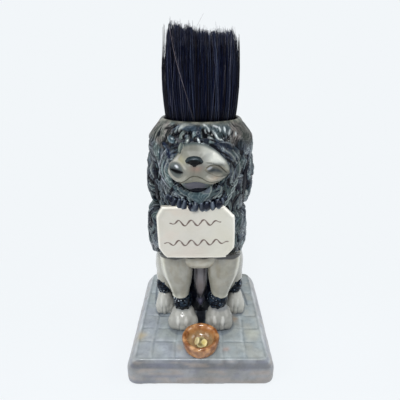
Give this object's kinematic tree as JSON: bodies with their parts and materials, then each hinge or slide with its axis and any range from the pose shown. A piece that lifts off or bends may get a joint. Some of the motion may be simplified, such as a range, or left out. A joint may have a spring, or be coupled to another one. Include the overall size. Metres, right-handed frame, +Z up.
{
  "type": "desk pen holder",
  "caption": "Glazed ceramic dog seated on a paved plinth, with a placard and a begging bowl; a removable bristle brush in its head holds pens.",
  "frame": {"origin": "centre of the plinth's underside", "axes": "+Z up along the brush; the dog faces -Y; +X to the right as seen from in front"},
  "size_m": [0.066, 0.068, 0.1468],
  "materials": {
    "stone_glaze": "glossy blue-grey glaze",
    "skin_glaze": "glossy warm grey glaze",
    "fleece_glaze": "glossy blue-grey glaze, navy in the hollows",
    "cuff_glaze": "glossy navy glaze",
    "face_glaze": "glossy cream glaze",
    "eyelid_glaze": "glossy grey glaze",
    "nose_glaze": "glossy black glaze",
    "placard_glaze": "glossy off-white glaze",
    "bowl_glaze": "glossy orange-brown glaze",
    "coin_glaze": "glossy yellow glaze",
    "stock_wood": "turned, unvarnished",
    "cement": "brush maker's pitch, matt",
    "bristle": "black hair, satin"
  },
  "bodies": {
    "figure": {"plinth": "stone_glaze", "torso": "skin_glaze", "haunch_left": "skin_glaze", "haunch_right": "skin_glaze", "brisket": "skin_glaze", "foreleg_left": "skin_glaze", "foreleg_right": "skin_glaze", "fore_bracelet_left": "cuff_glaze", "fore_bracelet_right": "cuff_glaze", "forepaw_left": "skin_glaze", "forepaw_right": "skin_glaze", "hind_bracelet_left": "cuff_glaze", "hind_bracelet_right": "cuff_glaze", "hind_paw_left": "skin_glaze", "hind_paw_right": "skin_glaze", "tail": "cuff_glaze", "mane": "fleece_glaze", "head": "fleece_glaze", "ear_left": "fleece_glaze", "ear_right": "fleece_glaze", "muzzle": "face_glaze", "nose": "nose_glaze", "eyelids": "eyelid_glaze", "beard": "fleece_glaze", "placard": "placard_glaze", "placard_cord": "placard_glaze", "bowl": "bowl_glaze", "coins": "coin_glaze"},
    "brush": {"brush_stock": "stock_wood", "bristle_cement": "cement", "bristles": "bristle"}
  },
  "joints": [
    {"name": "brush_lift", "type": "slide", "parent": "figure", "child": "brush", "axis": [0, 0, 1], "range_m": [0, 0.024]}
  ]
}
